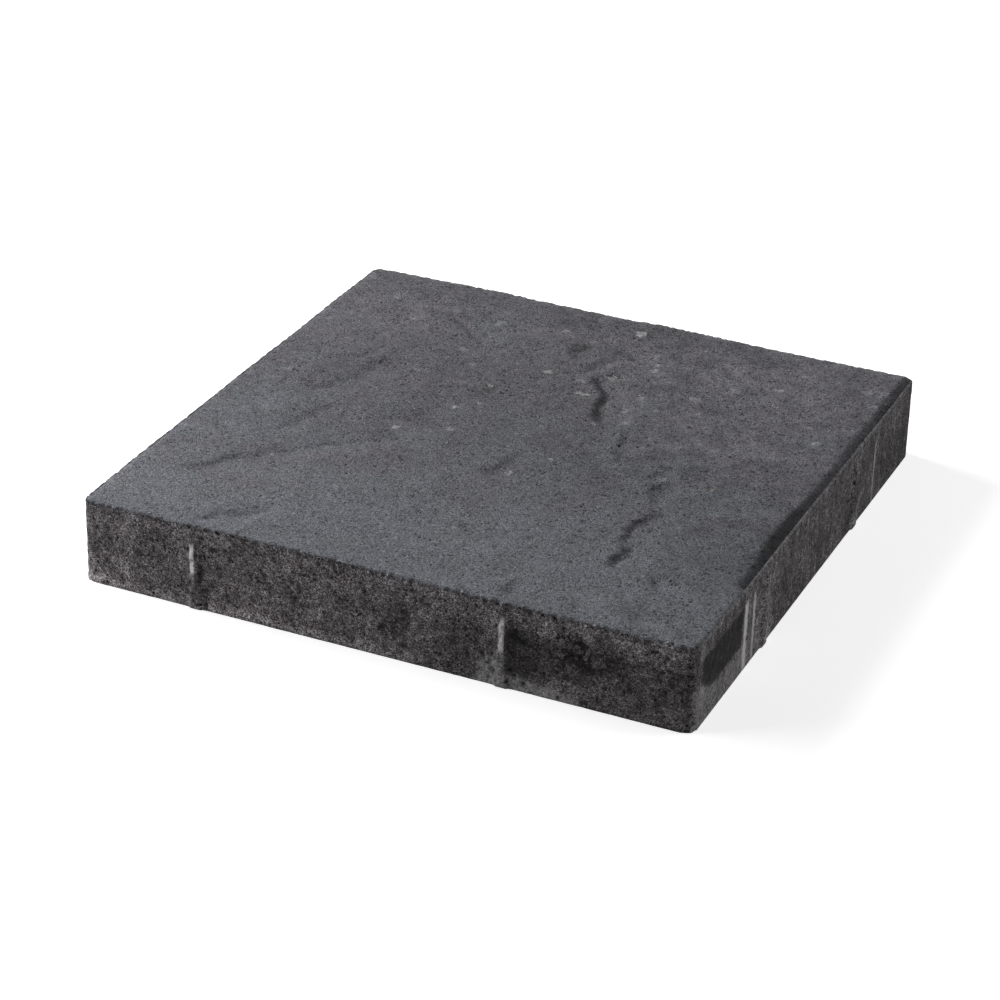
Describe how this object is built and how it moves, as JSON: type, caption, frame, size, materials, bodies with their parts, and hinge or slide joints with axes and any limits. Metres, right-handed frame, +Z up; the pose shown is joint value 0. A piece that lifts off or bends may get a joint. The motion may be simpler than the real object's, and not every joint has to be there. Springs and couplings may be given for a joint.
{
  "type": "concrete paving slab",
  "caption": "Square cast concrete paving slab with a riven, slate-like wearing face, rounded corners and spacer ribs on its sides.",
  "frame": {"origin": "centre of the bed, the flat underside, at the level the slab rests on", "axes": "+X along the front edge, +Y to the back, +Z up out of the riven wearing face"},
  "size_m": [0.3536, 0.3536, 0.05],
  "materials": {
    "concrete": "matt charcoal-grey cast concrete, closed skin on the riven face, rubbed pale on the ribs and sides"
  },
  "bodies": {
    "root": {"paving_slab": "concrete"}
  },
  "joints": []
}
